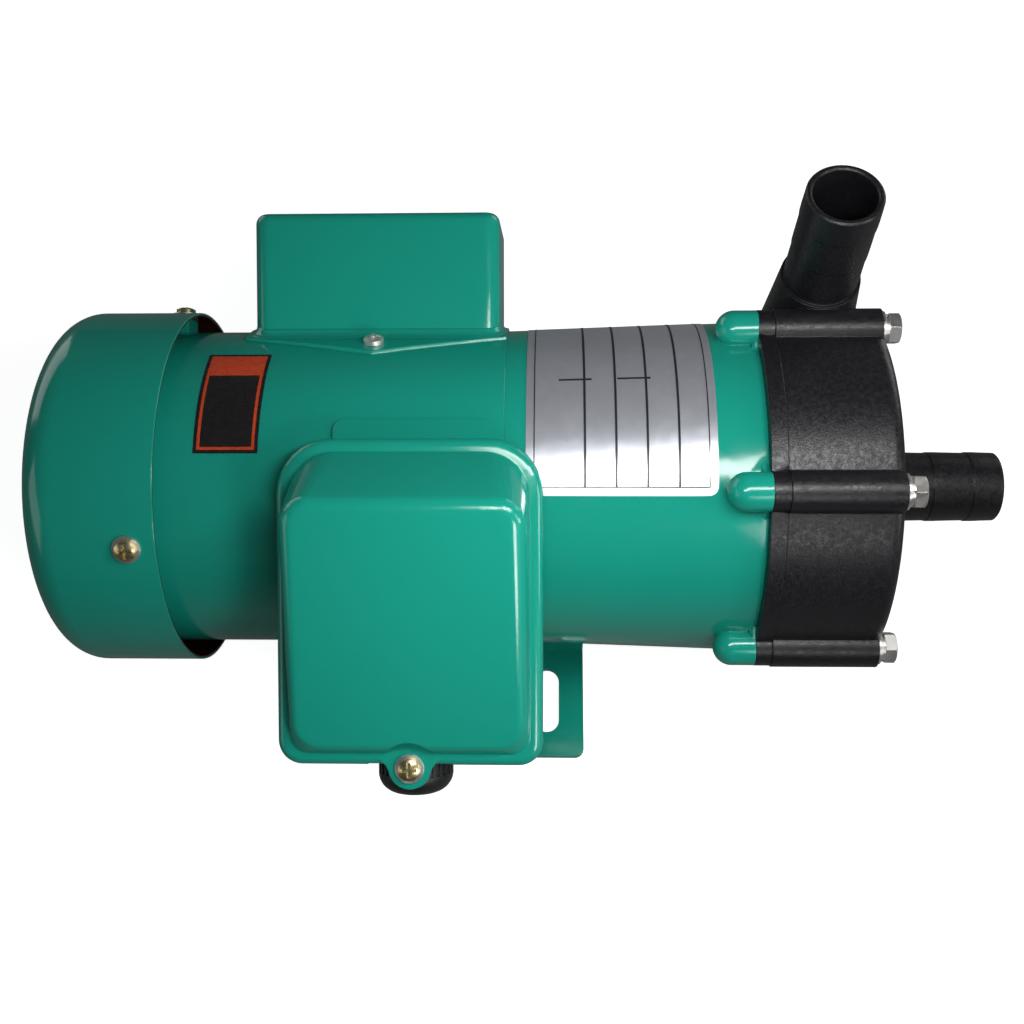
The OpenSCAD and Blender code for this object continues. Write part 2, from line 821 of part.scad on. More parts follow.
// A post of the rim with its top edge rolled over, for hulls
module rim_post(x, y, r, inset) {
    foot = inset > 0 ? CUT : 0;
    translate([x, y, rim_h - skirt_h - foot]) cylinder(r = r - inset, h = CUT, $fn = HULL_FN);
    translate([x, y, rim_h + sheet_t - rim_roll]) rotate_extrude($fn = HULL_FN)
        translate([r - rim_roll, 0]) intersection() {
            circle(r = rim_roll - inset, $fn = HULL_FN);
            translate([0, -rim_roll]) square(2 * rim_roll);
        }
}

// The tray of the cover below its raised part
module cover_tray(inset) {
    hull() for (side = [-1, 1]) {
        rim_post(side * (box_w / 2 - cover_r_low), -box_down + cover_r_low, cover_r_low, inset);
        rim_post(side * (box_w / 2 - cover_r_top), box_up - cover_r_top, cover_r_top, inset);
    }
}

// The tab of the cover's screw, run into the rim with hollow curves
module screw_tab(r) {
    web_y = -box_down + rim_roll;
    curve_y = web_y - tab_curve;
    curve_x = sqrt(pow(tab_r + tab_curve, 2) - pow(tab_y - curve_y, 2));
    meet_y = (tab_y + curve_y) / 2;
    translate([0, tab_y]) circle(r = r);
    difference() {
        polygon([[-curve_x, web_y + 1], [curve_x, web_y + 1], [curve_x, web_y],
                 [curve_x / 2, meet_y], [-curve_x / 2, meet_y], [-curve_x, web_y]]);
        for (side = [-1, 1]) translate([side * curve_x, curve_y]) circle(r = tab_curve + tab_r - r);
    }
}

module terminal_box_cover() {
    color(GREEN) box_frame() difference() {
        union() {
            cover_tray(0);
            translate([0, 0, rim_h]) linear_extrude(sheet_t) screw_tab(tab_r);
            difference() {
                cover_bump(0);
                translate([0, tab_y, rim_h + sheet_t]) cylinder(r = notch_r, h = box_depth);
            }
        }
        cover_tray(sheet_t);
        difference() {
            cover_bump(sheet_t);
            translate([0, tab_y, rim_h]) cylinder(r = notch_r + sheet_t, h = box_depth);
        }
        translate([-tab_r - tab_curve, -box_down - CUT, rim_h - skirt_h - CUT])
            cube([2 * (tab_r + tab_curve), tab_curve, skirt_h + CUT]);
        translate([0, tab_y, rim_h - CUT]) cylinder(r = screw_r + 0.3, h = sheet_t + 2 * CUT);
    }
}

module terminal_cover_washer() {
    color(STEEL) box_frame() translate([0, tab_y, rim_h + sheet_t])
        washer(screw_washer_r, screw_r + 0.2, screw_washer_t);
}

module terminal_cover_screw() {
    color(ZINC) box_frame() translate([0, tab_y, rim_h + sheet_t + screw_washer_t])
        pan_screw(box_screw_len);
}

module terminal_block() {
    gap = 1.6;
    color("#e6dfc8") box_frame() translate([0, block_y, block_base]) difference() {
        translate([-block_w / 2, 0, 0]) cube([block_w, block_l, block_h]);
        for (i = [1 : stud_count - 1])
            translate([(i - stud_count / 2) * block_w / stud_count - gap / 2, -CUT, block_h - block_slot])
                cube([gap, block_l + 2 * CUT, block_h]);
        stud_places() cylinder(r = stud_r, h = block_h);
    }
}

module stud_places() {
    for (i = [0 : stud_count - 1])
        translate([(i - (stud_count - 1) / 2) * block_w / stud_count, block_l / 2, 4]) children();
}

module terminal_studs() {
    color("#c9a24a") box_frame() translate([0, block_y, block_base]) stud_places() {
        cylinder(r = stud_r, h = block_h + 2);
        translate([0, 0, block_h - 4]) hexagon(7, 2.4);
    }
}

module gland_bore(z0, z1) {
    translate([0, 0, z0 - CUT]) cylinder(d = cable_d, h = z1 - z0 + 2 * CUT);
}

module gland_body() {
    color(BLACK) gland_frame() difference() {
        union() {
            translate([0, 0, -box_wall - locknut_t - 1])
                cylinder(r = gland_r, h = box_wall + locknut_t + 1 + CUT);
            hexagon(collar_af, collar_t);
            cylinder(r = neck_r, h = collar_t + neck_len);
        }
        gland_bore(-box_wall - locknut_t - 1, collar_t + neck_len);
    }
}

module gland_locknut() {
    color(BLACK) gland_frame() translate([0, 0, -box_wall - locknut_t]) difference() {
        hexagon(locknut_af, locknut_t);
        translate([0, 0, -CUT]) cylinder(r = gland_r, h = locknut_t + 2 * CUT);
    }
}

module gland_seal() {
    color("#303033") gland_frame() translate([0, 0, collar_t + neck_len]) difference() {
        cylinder(r = neck_r, h = seal_len);
        gland_bore(0, seal_len);
    }
}

module gland_nut() {
    dome = 6.5;
    color(BLACK) gland_frame() translate([0, 0, collar_t]) difference() {
        union() {
            cylinder(r = gland_nut_r, h = gland_nut_len - dome);
            translate([0, 0, gland_nut_len - dome]) rotate_extrude() {
                square([gland_nut_r - dome, dome]);
                intersection() {
                    translate([gland_nut_r - dome, 0]) circle(r = dome);
                    square([gland_nut_r, dome]);
                }
            }
        }
        translate([0, 0, -CUT]) cylinder(r = neck_r, h = neck_len + seal_len + CUT);
        gland_bore(0, gland_nut_len);
        for (i = [0 : gland_ribs - 1]) rotate([0, 0, i * 360 / gland_ribs])
            translate([gland_nut_r - 0.5, -0.6, -CUT]) cube([2, 1.2, gland_nut_len - dome - 0.6 + CUT]);
    }
}

// Bracket and drive

module pump_bracket() {
    rim_t = 1.2;
    rim_run = 1.4;
    color(GREEN) on_axis() difference() {
        union() {
            turned() polygon([
                [0, bracket_x], [housing_r, bracket_x], [housing_r + bracket_taper, face_x - rim_t - rim_run],
                [rim_d / 2, face_x - rim_t], [rim_d / 2, face_x], [0, face_x]
            ]);
            ring(housing_in_r, housing_in_r - spigot_wall, bracket_x - spigot_len, bracket_x);
            bar(hub_r, front_bearing_x, bracket_x);
            at_bolts() {
                bar(bracket_boss_r, face_x - bracket_boss_len + bracket_boss_r, face_x);
                translate([face_x - bracket_boss_len + bracket_boss_r, 0, 0]) sphere(r = bracket_boss_r);
            }
        }
        bar(bracket_in_r, web_x, face_x + CUT);
        bar(bearing_r, front_bearing_x - CUT, front_bearing_x + bearing_w);
        bar(shaft_r + 0.5, front_bearing_x, web_x + CUT);
        at_bolts() bar(bolt_r + FIT, bolt_end_x - 0.5, face_x + CUT);
    }
}

module drive_yoke() {
    color("#8d8f92") on_axis() difference() {
        union() {
            bar(yoke_r, yoke_x, yoke_end_x);
            bar(yoke_hub_r, yoke_x - yoke_hub_len, yoke_x);
        }
        bar(magnet_r1, yoke_x + yoke_plate_t, yoke_end_x + CUT);
        bar(shaft_r - FIT, yoke_x - yoke_hub_len - CUT, yoke_x + yoke_plate_t + CUT);
    }
}

module drive_magnets() {
    color("#3c3d40") on_axis() magnet_ring(magnet_r1, magnet_r0, magnet_x, magnet_x + magnet_len);
}

// Wet end

module rear_casing() {
    locate_r = bracket_in_r - 0.2;
    color(BLACK) on_axis() difference() {
        union() {
            bar(ring_r, face_x, seat_x);
            at_bolts() bar(boss_r - boss_step, face_x, seat_x);
            bar(locate_r, face_x - 3, face_x);
            bar(cup_r, cup_x, face_x);
        }
        difference() {
            bar(cup_in_r, cup_x + cup_end_t, seat_x + CUT);
            bar(socket_r, cup_x, rear_thrust_x);
        }
        bar(spindle_r, spindle_x, rear_thrust_x + CUT);
        at_bolts() bar(bolt_hole_r, face_x - 5, seat_x + CUT);
        ring(seal_mid_r + seal_groove_w / 2, seal_mid_r - seal_groove_w / 2,
             seat_x - 2 * seal_r, seat_x + CUT);
    }
}

module casing_seal() {
    color("#2a2a2d") on_axis() turned() translate([seal_mid_r, seat_x - seal_r]) circle(r = seal_r);
}

// The spiral passage round the impeller, widening with the turn of the impeller up to the outlet
module volute() {
    spiral = [for (a = [0 : 10 : 360])
        let (r = chamber_r + (volute_r - chamber_r) * a / 360)
        [r * cos(tongue_angle + a), r * sin(tongue_angle + a)]];
    along(seat_x + volute_margin, chamber_x - volute_margin / 2) polygon(spiral);
}

module casing_half() {
    edge = 4;
    translate([0, seat_x - 2 * CUT]) square([casing_r, casing_len + 2 * CUT - edge]);
    translate([0, seat_x - 2 * CUT]) square([casing_r - edge, casing_len + 2 * CUT]);
    translate([casing_r - edge, front_x - edge]) circle(r = edge);
}

module outlet_frame() {
    translate([outlet_x, outlet_y, 0]) children();
}

module front_casing() {
    outlet_len = outlet_h;
    color(BLACK) on_axis() {
        difference() {
            union() {
                turned() casing_half();
                at_bolts() bar(boss_r, seat_x - CUT, boss_x + CUT / 2);
                translate([front_x - CUT, 0, 0]) rotate([0, 90, 0]) barb(inlet_len + CUT);
                translate([front_x, 0, 0]) rotate([0, 90, 0])
                    cylinder(r1 = root_r, r2 = barb_r, h = root_r - barb_r);
                outlet_frame() barb(outlet_len);
                outlet_frame() cylinder(r = outlet_flare, h = outlet_root);
                outlet_frame() translate([0, 0, outlet_root])
                    cylinder(r1 = outlet_flare, r2 = hose_stop_r, h = outlet_stop - outlet_root);
            }
            bar(casing_r + 2 * boss_r, seat_x - 3 * CUT, seat_x);
            bar(chamber_r, seat_x - CUT, chamber_x);
            volute();
            bar(mouth_ring_r, chamber_x - CUT, chamber_x + mouth_ring_w);
            bar(eye_r, chamber_x, spider_x + spider_t);
            translate([spider_x + spider_t, 0, 0]) rotate([0, 90, 0])
                cylinder(r1 = eye_r, r2 = port_r, h = throat_end_x - spider_x - spider_t);
            translate([throat_end_x, 0, 0]) rotate([0, 90, 0]) port(inlet_tip_x - throat_end_x);
            outlet_frame() port(outlet_len);
            outlet_frame() translate([0, 0, -CUT]) cylinder(r = throat_r, h = outlet_throat + CUT);
            at_bolts() bar(bolt_hole_r, seat_x - CUT, boss_x + CUT);
            at_bolts() bar(boss_r + ROOM, boss_x, front_x + CUT);
        }
        spider();
    }
}

// The front support of the spindle, a hub on three legs across the throat of the inlet
module spider() {
    difference() {
        union() {
            bar(spider_hub_r, hub_x, spindle_end_x + 2);
            for (i = [0 : 2]) at_angle(i * 120) translate([spider_x, -1.5, 0]) cube([spider_t, 3, eye_r + 1]);
        }
        bar(spindle_r, hub_x - CUT, spindle_end_x);
    }
}

module mouth_ring() {
    color("#d9d5c8") on_axis() ring(mouth_ring_r, mouth_r + ROOM, chamber_x, chamber_x + mouth_ring_w);
}

module spindle() {
    color("#efeae0") on_axis() bar(spindle_r, spindle_x, spindle_end_x);
}

module thrust_rings() {
    color("#efeae0") on_axis() {
        ring(thrust_r, spindle_r, rear_thrust_x, rear_thrust_x + thrust_t);
        ring(min(thrust_r, spider_hub_r), spindle_r, eye_x, hub_x);
    }
}

// One backward-curved vane, seen along the axis
module vane_outline() {
    sweep = 55;
    vane_t = 3;
    r0 = eye_r - 1;
    r1 = impeller_r - 0.5;
    steps = 8;
    side = [-1, 1];
    polygon([for (s = side, k = [0 : steps])
        let (f = s < 0 ? k / steps : 1 - k / steps, r = r0 + (r1 - r0) * f)
        let (a = -sweep * f + s * vane_t / r * 90 / PI)
        [r * cos(a), r * sin(a)]]);
}

module impeller() {
    color("#3a3b3e") on_axis() difference() {
        union() {
            bar(impeller_r, impeller_x, vane_x);
            bar(impeller_hub_r, impeller_x, bush_end_x);
            for (i = [0 : vanes - 1]) at_angle(i * 360 / vanes)
                along(vane_x - 0.01, shroud_x + 0.01) vane_outline();
            ring(impeller_r, eye_r, shroud_x, eye_x);
            ring(mouth_r, eye_r, shroud_x, chamber_x + mouth_len);
        }
        bar(bush_r, impeller_x - CUT, bush_end_x + CUT);
    }
}

module impeller_bush() {
    color("#4b4a46") on_axis() ring(bush_r, spindle_r + FIT, capsule_x, bush_end_x);
}

module magnet_capsule() {
    color(BLACK) on_axis() difference() {
        bar(capsule_r, capsule_x, impeller_x);
        bar(bush_r, capsule_x - CUT, impeller_x + CUT);
        ring(inner_magnet_r1, inner_magnet_r0, capsule_x + capsule_wall, impeller_x + CUT);
    }
}

module inner_magnets() {
    color("#3c3d40") on_axis()
        magnet_ring(inner_magnet_r1, inner_magnet_r0, capsule_x + capsule_wall, impeller_x);
}

module casing_bolts() {
    color(STEEL) on_axis() at_bolts() {
        bar(bolt_r, bolt_end_x, head_x + CUT);
        translate([head_x, 0, 0]) rotate([0, 90, 0]) intersection() {
            hexagon(bolt_head_af, bolt_head_h);
            cylinder(r1 = bolt_head_af, r2 = bolt_head_af / 2, h = bolt_head_h);
        }
    }
}

module flat_washers() {
    color(STEEL) on_axis() at_bolts() ring(flat_washer_r, bolt_hole_r, boss_x, boss_x + flat_washer_t);
}

module spring_washers() {
    color(STEEL) on_axis() at_bolts() difference() {
        ring(spring_washer_r, bolt_hole_r, boss_x + flat_washer_t, head_x);
        translate([boss_x + flat_washer_t - CUT, -0.5, 0])
            cube([spring_washer_t + 2 * CUT, 1, spring_washer_r + CUT]);
    }
}

motor_housing();
rear_end_shield();
stator_core();
stator_windings();
rotor_core();
motor_shaft();
motor_bearings();
cooling_fan();
fan_cover();
fan_cover_screws();
fan_cover_washers();
foot();
capacitor_cover();
capacitor_cover_screws();
run_capacitor();
capacitor_cradle();
terminal_box();
terminal_box_cover();
terminal_cover_screw();
terminal_cover_washer();
terminal_block();
terminal_studs();
gland_body();
gland_locknut();
gland_seal();
gland_nut();
pump_bracket();
drive_yoke();
drive_magnets();
rear_casing();
casing_seal();
front_casing();
casing_bolts();
flat_washers();
spring_washers();
spindle();
thrust_rings();
mouth_ring();
impeller();
impeller_bush();
magnet_capsule();
inner_magnets();
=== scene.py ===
import math

import bmesh
import bpy
from mathutils import Matrix, Vector


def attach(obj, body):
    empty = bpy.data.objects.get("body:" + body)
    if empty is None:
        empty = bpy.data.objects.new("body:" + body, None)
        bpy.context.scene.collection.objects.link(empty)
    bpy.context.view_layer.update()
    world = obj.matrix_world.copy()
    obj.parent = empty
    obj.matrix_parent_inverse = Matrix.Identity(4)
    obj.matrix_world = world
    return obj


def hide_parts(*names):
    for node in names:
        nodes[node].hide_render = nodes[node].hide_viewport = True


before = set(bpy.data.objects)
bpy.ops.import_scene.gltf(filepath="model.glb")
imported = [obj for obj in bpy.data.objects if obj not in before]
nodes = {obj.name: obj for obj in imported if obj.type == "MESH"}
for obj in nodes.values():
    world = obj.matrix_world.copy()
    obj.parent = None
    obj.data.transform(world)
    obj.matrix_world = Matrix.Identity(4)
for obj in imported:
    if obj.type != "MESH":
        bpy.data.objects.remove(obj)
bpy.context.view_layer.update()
scene = bpy.context.scene
scene.view_settings.view_transform = "Standard"
print("frame loaded with", len(nodes), "solids")

# camera at the photo's place, taken from the pump's own circles and edges
photoCamera = {
    "place": (0.0029, -0.2179, 0.4762),
    "right": (0.9994, 0.0168, -0.0306),
    "up": (-0.0009, 0.8887, 0.4585),
    "lens": 42.14,
    "sensor": 36.0,
    "clip": (0.01, 50.0),
}


def makeCamera(spec):
    right = Vector(spec["right"]).normalized()
    back = right.cross(Vector(spec["up"])).normalized()
    up = back.cross(right)
    data = bpy.data.cameras.new("photoCamera")
    data.lens = spec["lens"]
    data.sensor_width = spec["sensor"]
    data.clip_start, data.clip_end = spec["clip"]
    camera = bpy.data.objects.new("photoCamera", data)
    turn = Matrix((right, up, back)).transposed().to_4x4()
    camera.matrix_world = Matrix.Translation(spec["place"]) @ turn
    scene.collection.objects.link(camera)
    scene.camera = camera


makeCamera(photoCamera)
print("camera set")


# small helpers for node trees
def addNode(tree, kind, settings=None, values=None):
    node = tree.nodes.new(kind)
    for name, value in (settings or {}).items():
        setattr(node, name, value)
    for name, value in (values or {}).items():
        node.inputs[name].default_value = value
    return node


def join(tree, source, output, target, entry):
    tree.links.new(source.outputs[output], target.inputs[entry])


def newGroup(name, inputs, outputs):
    tree = bpy.data.node_groups.new(name, "ShaderNodeTree")
    for label, kind in inputs.items():
        tree.interface.new_socket(name=label, in_out="INPUT", socket_type=kind)
    for label, kind in outputs.items():
        tree.interface.new_socket(name=label, in_out="OUTPUT", socket_type=kind)
    return tree, tree.nodes.new("NodeGroupInput"), tree.nodes.new("NodeGroupOutput")


def makePaintFilm():
    inputs = {"Place": "NodeSocketVector", "Peel": "NodeSocketFloat", "Cloud": "NodeSocketFloat"}
    outputs = {"Height": "NodeSocketFloat", "Tint": "NodeSocketFloat", "Smudge": "NodeSocketFloat"}
    tree, entry, result = newGroup("paintFilm", inputs, outputs)
    peel = addNode(tree, "ShaderNodeTexNoise", values={"Detail": 2.0, "Roughness": 0.4})
    cloud = addNode(tree, "ShaderNodeTexNoise", values={"Detail": 4.0, "Roughness": 0.55})
    blots = {"Scale": 55.0, "Detail": 5.0, "Distortion": 0.8}
    smudge = addNode(tree, "ShaderNodeTexNoise", values=blots)
    spread = addNode(tree, "ShaderNodeMapRange", values={"From Min": 0.35, "From Max": 0.7})
    for noise in (peel, cloud, smudge):
        join(tree, entry, "Place", noise, "Vector")
    join(tree, entry, "Peel", peel, "Scale")
    join(tree, entry, "Cloud", cloud, "Scale")
    join(tree, peel, "Fac", result, "Height")
    join(tree, cloud, "Fac", result, "Tint")
    join(tree, smudge, "Fac", spread, "Value")
    join(tree, spread, "Result", result, "Smudge")
    return tree


def makeMouldGrain():
    inputs = {"Place": "NodeSocketVector", "Grain": "NodeSocketFloat", "Mottle": "NodeSocketFloat"}
    outputs = {"Height": "NodeSocketFloat", "Gloss": "NodeSocketFloat", "Tone": "NodeSocketFloat"}
    tree, entry, result = newGroup("mouldGrain", inputs, outputs)
    grain = addNode(tree, "ShaderNodeTexNoise", values={"Detail": 3.0, "Roughness": 0.6})
    patches = {"Detail": 6.0, "Roughness": 0.65, "Distortion": 0.4}
    mottle = addNode(tree, "ShaderNodeTexNoise", values=patches)
    flow = addNode(tree, "ShaderNodeTexNoise", values={"Scale": 22.0, "Detail": 3.0})
    spread = addNode(tree, "ShaderNodeMapRange", values={"From Min": 0.38, "From Max": 0.66})
    blend = addNode(tree, "ShaderNodeMix", {"data_type": "FLOAT"}, {"Factor": 0.35})
    for noise in (grain, mottle, flow):
        join(tree, entry, "Place", noise, "Vector")
    join(tree, entry, "Grain", grain, "Scale")
    join(tree, entry, "Mottle", mottle, "Scale")
    join(tree, mottle, "Fac", spread, "Value")
    join(tree, grain, "Fac", blend, "A")
    join(tree, mottle, "Fac", blend, "B")
    join(tree, blend, "Result", result, "Height")
    join(tree, spread, "Result", result, "Gloss")
    join(tree, flow, "Fac", result, "Tone")
    return tree


def makeBrushing():
    inputs = {"Place": "NodeSocketVector", "Lines": "NodeSocketVector"}
    outputs = {"Height": "NodeSocketFloat", "Tone": "NodeSocketFloat", "Stain": "NodeSocketFloat"}
    tree, entry, result = newGroup("brushing", inputs, outputs)
    stretch = addNode(tree, "ShaderNodeVectorMath", {"operation": "MULTIPLY"})
    lines = addNode(tree, "ShaderNodeTexNoise", values={"Scale": 1.0, "Detail": 4.0, "Roughness": 0.6})
    tone = addNode(tree, "ShaderNodeTexNoise", values={"Scale": 320.0, "Detail": 3.0})
    spots = {"Scale": 130.0, "Detail": 5.0, "Distortion": 1.0}
    stain = addNode(tree, "ShaderNodeTexNoise", values=spots)
    spread = addNode(tree, "ShaderNodeMapRange", values={"From Min": 0.42, "From Max": 0.72})
    join(tree, entry, "Place", stretch, 0)
    join(tree, entry, "Lines", stretch, 1)
    join(tree, stretch, "Vector", lines, "Vector")
    join(tree, entry, "Place", tone, "Vector")
    join(tree, entry, "Place", stain, "Vector")
    join(tree, stain, "Fac", spread, "Value")
    join(tree, lines, "Fac", result, "Height")
    join(tree, tone, "Fac", result, "Tone")
    join(tree, spread, "Result", result, "Stain")
    return tree


paintFilm = makePaintFilm()
mouldGrain = makeMouldGrain()
brushing = makeBrushing()
print("shared effects built")


def newMaterial(name):
    material = bpy.data.materials.new(name)
    material.use_nodes = True
    tree = material.node_tree
    tree.nodes.clear()
    shader = tree.nodes.new("ShaderNodeBsdfPrincipled")
    output = tree.nodes.new("ShaderNodeOutputMaterial")
    join(tree, shader, "BSDF", output, "Surface")
    place = tree.nodes.new("ShaderNodeTexCoord")
    return material, tree, shader, place


def colour(rgb):
    return (*rgb, 1.0)


# the colour sockets of a mix node
firstColour = 6
secondColour = 7
mixedColour = 2


def mixColours(tree, shader, first, second, mask, output):
    mix = addNode(tree, "ShaderNodeMix", {"data_type": "RGBA"})
    mix.inputs[firstColour].default_value = colour(first)
    mix.inputs[secondColour].default_value = colour(second)
    join(tree, mask, output, mix, 0)
    join(tree, mix, mixedColour, shader, "Base Color")
    return mix


def spreadRoughness(tree, shader, low, high, mask, output):
    spread = addNode(tree, "ShaderNodeMapRange", values={"To Min": low, "To Max": high})
    join(tree, mask, output, spread, "Value")
    join(tree, spread, "Result", shader, "Roughness")


def addRelief(tree, shader, mask, output, depth, strength, edge=0.0):
    bump = addNode(tree, "ShaderNodeBump", values={"Distance": depth, "Strength": strength})
    join(tree, mask, output, bump, "Height")
    if edge:
        soften = addNode(tree, "ShaderNodeBevel", {"samples": 6}, {"Radius": edge})
        join(tree, soften, "Normal", bump, "Normal")
    join(tree, bump, "Normal", shader, "Normal")


def useGroup(tree, place, group, values):
    effect = addNode(tree, "ShaderNodeGroup", {"node_tree": group}, values)
    join(tree, place, "Object", effect, "Place")
    return effect


def lineInside(tree, shader, place, tint, lining):
    # primer on the faces of a drum that look at its axis
    centre = addNode(tree, "ShaderNodeVectorMath", {"operation": "SUBTRACT"})
    centre.inputs[1].default_value = (0.0, 0.0, lining["axisHeight"])
    across = addNode(tree, "ShaderNodeVectorMath", {"operation": "MULTIPLY"})
    across.inputs[1].default_value = (0.0, 1.0, 1.0)
    radius = addNode(tree, "ShaderNodeVectorMath", {"operation": "LENGTH"})
    within = addNode(tree, "ShaderNodeMath", {"operation": "LESS_THAN"})
    within.inputs[1].default_value = lining["radius"]
    along = tree.nodes.new("ShaderNodeSeparateXYZ")
    ahead = addNode(tree, "ShaderNodeMath", {"operation": "GREATER_THAN"})
    ahead.inputs[1].default_value = lining["from"]
    both = addNode(tree, "ShaderNodeMath", {"operation": "MULTIPLY"})
    coat = addNode(tree, "ShaderNodeMix", {"data_type": "RGBA"})
    coat.inputs[secondColour].default_value = colour(lining["colour"])
    join(tree, place, "Object", centre, 0)
    join(tree, centre, "Vector", across, 0)
    join(tree, across, "Vector", radius, 0)
    join(tree, radius, "Value", within, 0)
    join(tree, place, "Object", along, "Vector")
    join(tree, along, "X", ahead, 0)
    join(tree, within, 0, both, 0)
    join(tree, ahead, 0, both, 1)
    join(tree, both, 0, coat, 0)
    join(tree, tint, mixedColour, coat, firstColour)
    join(tree, coat, mixedColour, shader, "Base Color")


def makePaint(name, spec):
    material, tree, shader, place = newMaterial(name)
    film = useGroup(tree, place, paintFilm, {"Peel": spec["peel"], "Cloud": spec["cloud"]})
    tint = mixColours(tree, shader, spec["light"], spec["dark"], film, "Tint")
    spreadRoughness(tree, shader, spec["gloss"], spec["dull"], film, "Smudge")
    addRelief(tree, shader, film, "Height", spec["depth"], spec["strength"], spec["edge"])
    shader.inputs["IOR"].default_value = spec["ior"]
    if "lining" in spec:
        lineInside(tree, shader, place, tint, spec["lining"])
    return material


def makePlastic(name, spec):
    material, tree, shader, place = newMaterial(name)
    grain = useGroup(tree, place, mouldGrain, {"Grain": spec["grain"], "Mottle": spec["mottle"]})
    mixColours(tree, shader, spec["light"], spec["dark"], grain, "Tone")
    spreadRoughness(tree, shader, spec["gloss"], spec["dull"], grain, "Gloss")
    addRelief(tree, shader, grain, "Height", spec["depth"], spec["strength"], spec["edge"])
    shader.inputs["IOR"].default_value = spec.get("ior", 1.5)
    return material


def makeMetal(name, spec):
    material, tree, shader, place = newMaterial(name)
    brush = useGroup(tree, place, brushing, {"Lines": spec["lines"]})
    mixColours(tree, shader, spec["light"], spec["dark"], brush, spec.get("mask", "Tone"))
    spreadRoughness(tree, shader, spec["gloss"], spec["dull"], brush, "Stain")
    addRelief(tree, shader, brush, "Height", spec["depth"], spec["strength"], spec["edge"])
    shader.inputs["Metallic"].default_value = spec.get("metallic", 1.0)
    return material


paints = {
    "greenPaint": {
        "light": (0.0085, 0.302, 0.222), "dark": (0.0065, 0.266, 0.195), "peel": 520.0, "cloud": 9.0,
        "gloss": 0.10, "dull": 0.19, "depth": 0.00006, "strength": 0.22, "edge": 0.0007, "ior": 1.52,
    },
}
paints["drumPaint"] = {
    **paints["greenPaint"],
    "lining": {"axisHeight": 0.075, "radius": 0.0652, "from": -0.164, "colour": (0.070, 0.013, 0.010)},
}
plastics = {
    "blackCasing": {
        "light": (0.0095, 0.0092, 0.0112), "dark": (0.0055, 0.0053, 0.0066),
        "grain": 1100.0, "mottle": 620.0, "gloss": 0.30, "dull": 0.52,
        "depth": 0.00022, "strength": 0.5, "edge": 0.0006, "ior": 1.45,
    },
    "blackNylon": {
        "light": (0.010, 0.010, 0.011), "dark": (0.006, 0.006, 0.007), "grain": 2600.0, "mottle": 600.0,
        "gloss": 0.35, "dull": 0.5, "depth": 0.00005, "strength": 0.3, "edge": 0.0003,
    },
    "sealRubber": {
        "light": (0.016, 0.016, 0.017), "dark": (0.010, 0.010, 0.011), "grain": 3200.0, "mottle": 500.0,
        "gloss": 0.6, "dull": 0.8, "depth": 0.00005, "strength": 0.3, "edge": 0.0003,
    },
    "impellerPlastic": {
        "light": (0.028, 0.029, 0.031), "dark": (0.018, 0.018, 0.020), "grain": 1800.0, "mottle": 400.0,
        "gloss": 0.35, "dull": 0.5, "depth": 0.00006, "strength": 0.3, "edge": 0.0004,
    },
    "spindleCeramic": {
        "light": (0.80, 0.77, 0.69), "dark": (0.72, 0.68, 0.60), "grain": 3000.0, "mottle": 260.0,
        "gloss": 0.16, "dull": 0.26, "depth": 0.00002, "strength": 0.2, "edge": 0.0003, "ior": 1.7,
    },
    "bushCarbon": {
        "light": (0.045, 0.044, 0.042), "dark": (0.026, 0.026, 0.025), "grain": 2400.0, "mottle": 500.0,
        "gloss": 0.4, "dull": 0.58, "depth": 0.00004, "strength": 0.25, "edge": 0.0003,
    },
    "capacitorCan": {
        "light": (0.66, 0.66, 0.63), "dark": (0.58, 0.58, 0.56), "grain": 1400.0, "mottle": 120.0,
        "gloss": 0.25, "dull": 0.4, "depth": 0.00003, "strength": 0.2, "edge": 0.0005,
    },
    "terminalPlastic": {
        "light": (0.68, 0.62, 0.45), "dark": (0.60, 0.54, 0.38), "grain": 2000.0, "mottle": 300.0,
        "gloss": 0.3, "dull": 0.45, "depth": 0.00004, "strength": 0.25, "edge": 0.0004,
    },
}
